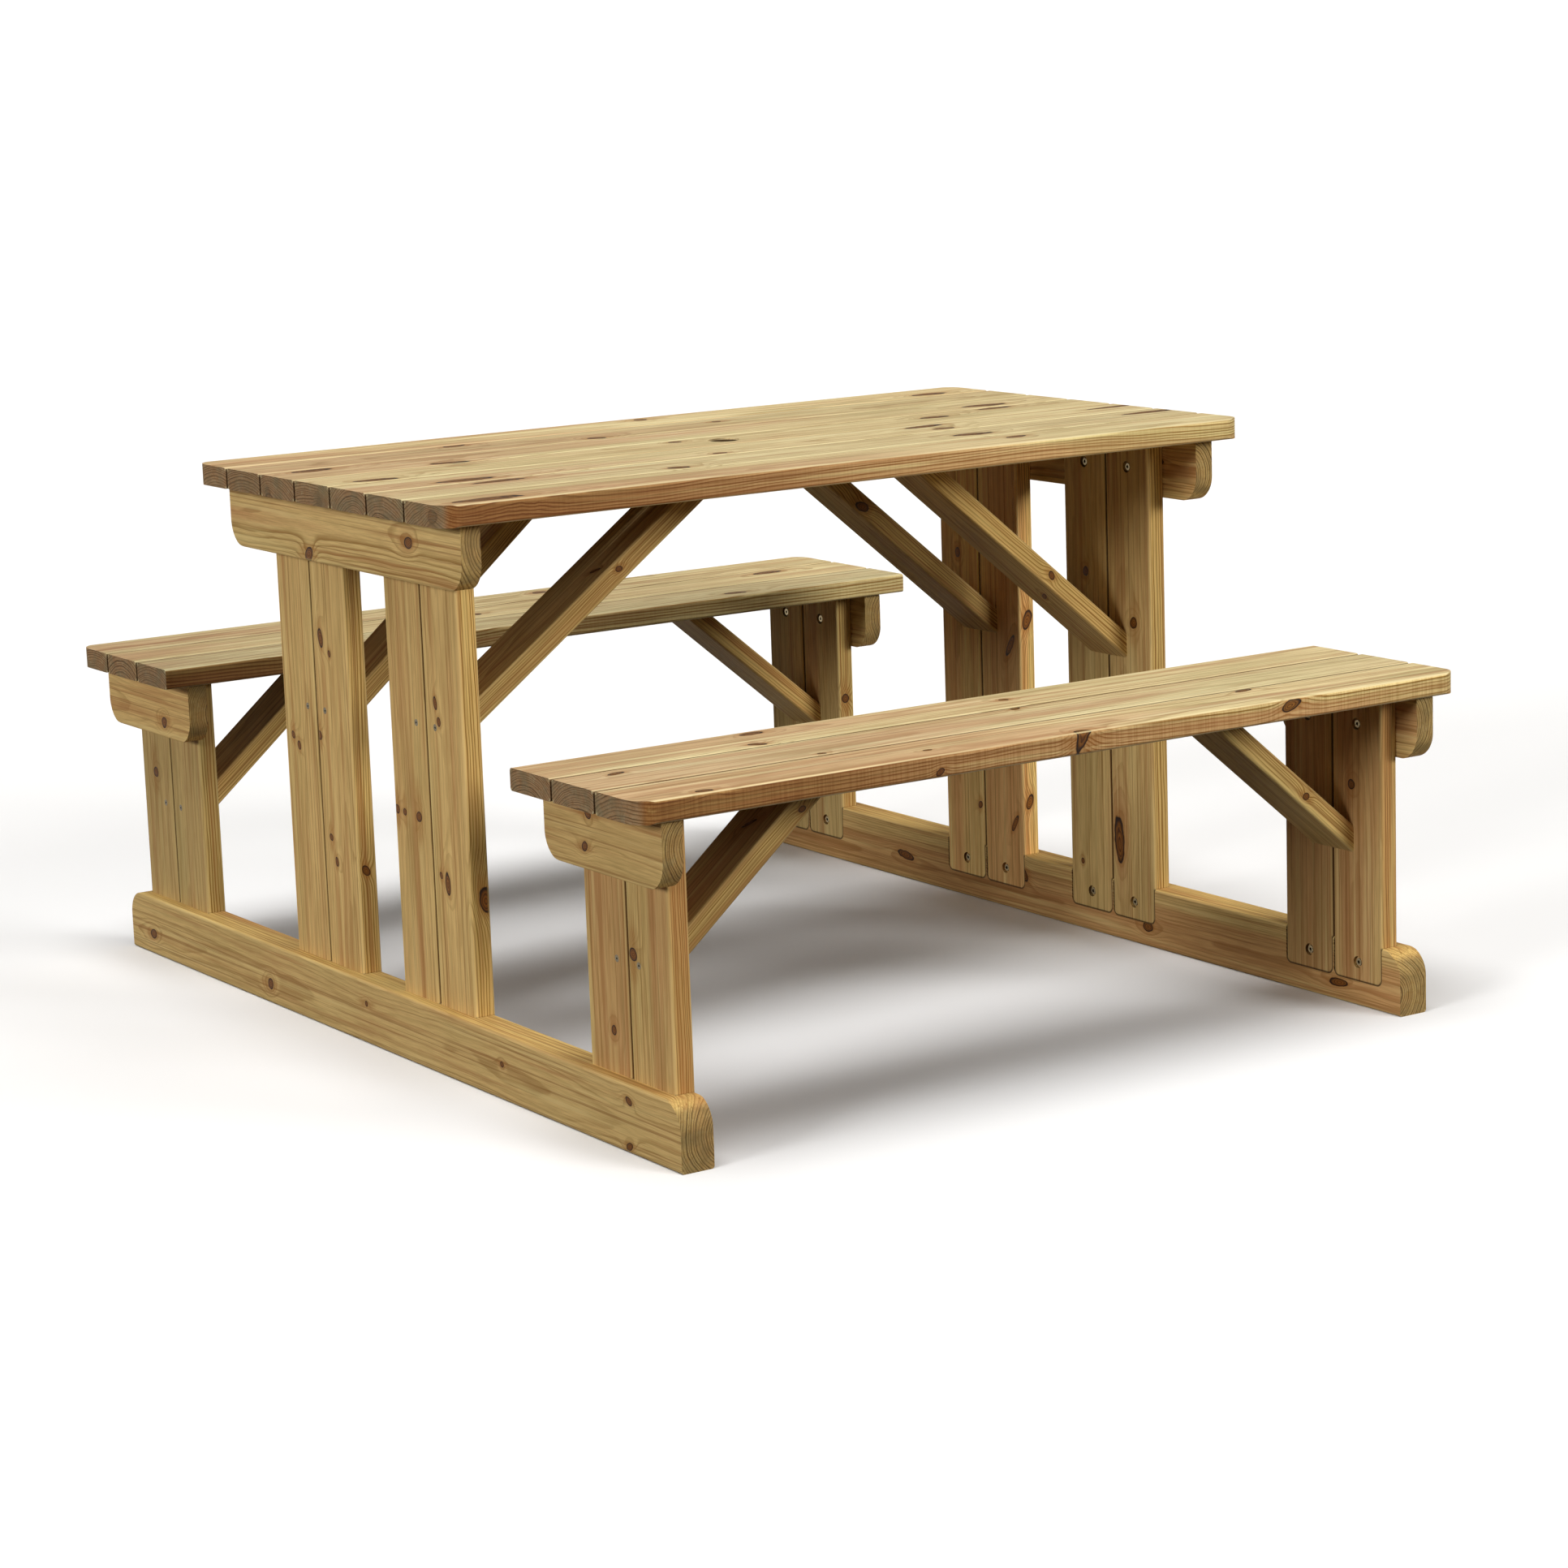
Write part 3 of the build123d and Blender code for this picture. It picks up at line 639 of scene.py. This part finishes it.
zinc = screw_material("zinc", *FRESH_ZINC)
painted_shade_zinc = screw_material("painted_shade_zinc", *PAINTED_SHADE_ZINC)
for number, name in enumerate(sorted(nodes)):
    if name.endswith("_screws"):
        # the braces' small screws get a darker copy of the zinc, as painted shade
        paint(nodes[name], painted_shade_zinc if "_brace_" in name else zinc)
    else:
        paint(nodes[name], pine_material(name, random.Random(100 + number)))


# ---------------------------------------------------------------- floor, light and camera

def make_floor():
    """A plain pale studio bowl: a flat disc whose rim curves up, far outside the object."""
    flat_radius, curve_radius, curve_turn = 14.0, 6.0, math.radians(75)
    curve_steps, around = 10, 96
    rings = [(0.02, 0.0), (flat_radius, 0.0)]
    for step in range(1, curve_steps + 1):
        turn = curve_turn * step / curve_steps
        rings.append((flat_radius + curve_radius * math.sin(turn), curve_radius * (1 - math.cos(turn))))
    points = []
    for radius, height in rings:
        for step in range(around):
            angle = 2 * math.pi * step / around
            points.append((radius * math.cos(angle), radius * math.sin(angle), height))
    faces = [tuple(range(around))]
    for ring in range(len(rings) - 1):
        for step in range(around):
            near, far = ring * around, (ring + 1) * around
            other = (step + 1) % around
            faces.append((near + step, far + step, far + other, near + other))
    mesh = bpy.data.meshes.new("floor")
    mesh.from_pydata(points, [], faces)
    mesh.polygons.foreach_set("use_smooth", [True] * len(mesh.polygons))
    floor = bpy.data.objects.new("floor", mesh)
    bpy.context.scene.collection.objects.link(floor)
    floor.visible_diffuse = False
    material = bpy.data.materials.new("floor")
    material.use_nodes = True
    tree = Tree(material.node_tree)
    shader = material.node_tree.nodes["Principled BSDF"]
    where = tree.add("ShaderNodeTexCoord").outputs["Object"]
    cloud = tree.noise(where, scale=0.8, detail=2)
    tree.feed(shader.inputs["Base Color"], tree.mix(cloud, DARK_FLOOR, PALE_FLOOR))
    shader.inputs["Roughness"].default_value = 1.0
    shader.inputs["Specular IOR Level"].default_value = 0.0
    paint(floor, material)


def add_sun(name, source, angle, strength):
    """A soft light from the direction of source, as wide in the sky as the angle in degrees."""
    data = bpy.data.lights.new(name, "SUN")
    data.angle = math.radians(angle)
    data.energy = strength
    lamp = bpy.data.objects.new(name, data)
    lamp.rotation_euler = (-Vector(source)).to_track_quat("-Z", "Y").to_euler()
    bpy.context.scene.collection.objects.link(lamp)


def make_world():
    """Even studio light from above, and a weak warm return from below."""
    world = bpy.data.worlds.new("studio")
    world.use_nodes = True
    tree = Tree(world.node_tree)
    where = tree.add("ShaderNodeTexCoord").outputs["Generated"]
    height = tree.smooth(tree.split(where)[2], -0.15, 0.1)
    background = world.node_tree.nodes["Background"]
    tree.feed(background.inputs["Color"], tree.mix(height, LIGHT_FROM_BELOW, LIGHT_FROM_ABOVE))
    background.inputs["Strength"].default_value = 0.12
    bpy.context.scene.world = world


def add_camera():
    """Long lens, from the near left, a little above the tabletop."""
    azimuth = math.radians(33.055)
    fall = math.radians(11.155)
    roll = math.radians(2.0)
    level = Vector((math.sin(azimuth), math.cos(azimuth), 0))
    forward = level * math.cos(fall) - Z_AXIS * math.sin(fall)
    right = forward.cross(Z_AXIS).normalized()
    up = right.cross(forward)
    rolled_right = right * math.cos(roll) - up * math.sin(roll)
    rolled_up = right * math.sin(roll) + up * math.cos(roll)
    data = bpy.data.cameras.new("camera")
    data.sensor_width = 36
    data.lens = 92.76
    data.clip_end = 300
    camera = bpy.data.objects.new("camera", data)
    camera.matrix_world = Matrix((rolled_right, rolled_up, -forward)).transposed().to_4x4()
    camera.location = (-2.929, -4.620, 1.350)
    bpy.context.scene.collection.objects.link(camera)
    bpy.context.scene.camera = camera


make_floor()
add_sun("overhead", source=(-0.15, -0.1, 1.0), angle=35, strength=2.4)
add_sun("front", source=(0.45, -1.0, 0.35), angle=28, strength=2.6)
add_sun("left", source=(-1.0, -0.2, 0.25), angle=20, strength=2.55)
make_world()
add_camera()
bpy.context.scene.view_settings.view_transform = "Standard"
